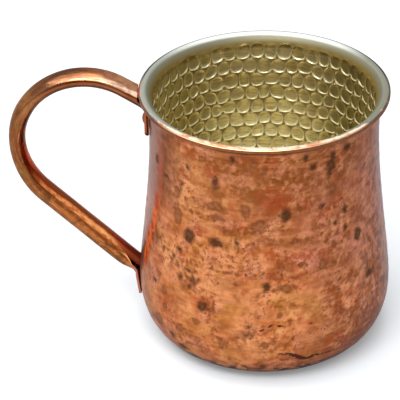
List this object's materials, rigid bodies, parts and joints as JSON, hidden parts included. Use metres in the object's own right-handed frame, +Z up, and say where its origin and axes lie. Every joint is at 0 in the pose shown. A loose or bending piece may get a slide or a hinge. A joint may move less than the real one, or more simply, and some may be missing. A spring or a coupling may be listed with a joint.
{
  "type": "lined copper mug",
  "caption": "Barrel-bellied copper drinking mug with a flared lip, a pale dimpled inner cup and a riveted tubular ear handle.",
  "frame": {"origin": "centre of the flat base that the mug stands on", "axes": "+Z up along the cup's axis, -X towards the handle, the handle's plane is y = 0"},
  "size_m": [0.1302, 0.0874, 0.0999],
  "materials": {
    "shell_copper": "hammered and planished copper with an antique patina and dark spots",
    "liner_tinned": "bright tinned lining, pale straw coloured, dimpled all over below a smooth lip",
    "handle_copper": "drawn copper tube, polished by use, with brown stains",
    "rivet_copper": "peened copper, darkened"
  },
  "bodies": {
    "root": {"outer_shell": "shell_copper", "inner_liner": "liner_tinned", "handle": "handle_copper", "upper_rivet": "rivet_copper", "lower_rivet": "rivet_copper"}
  },
  "joints": []
}
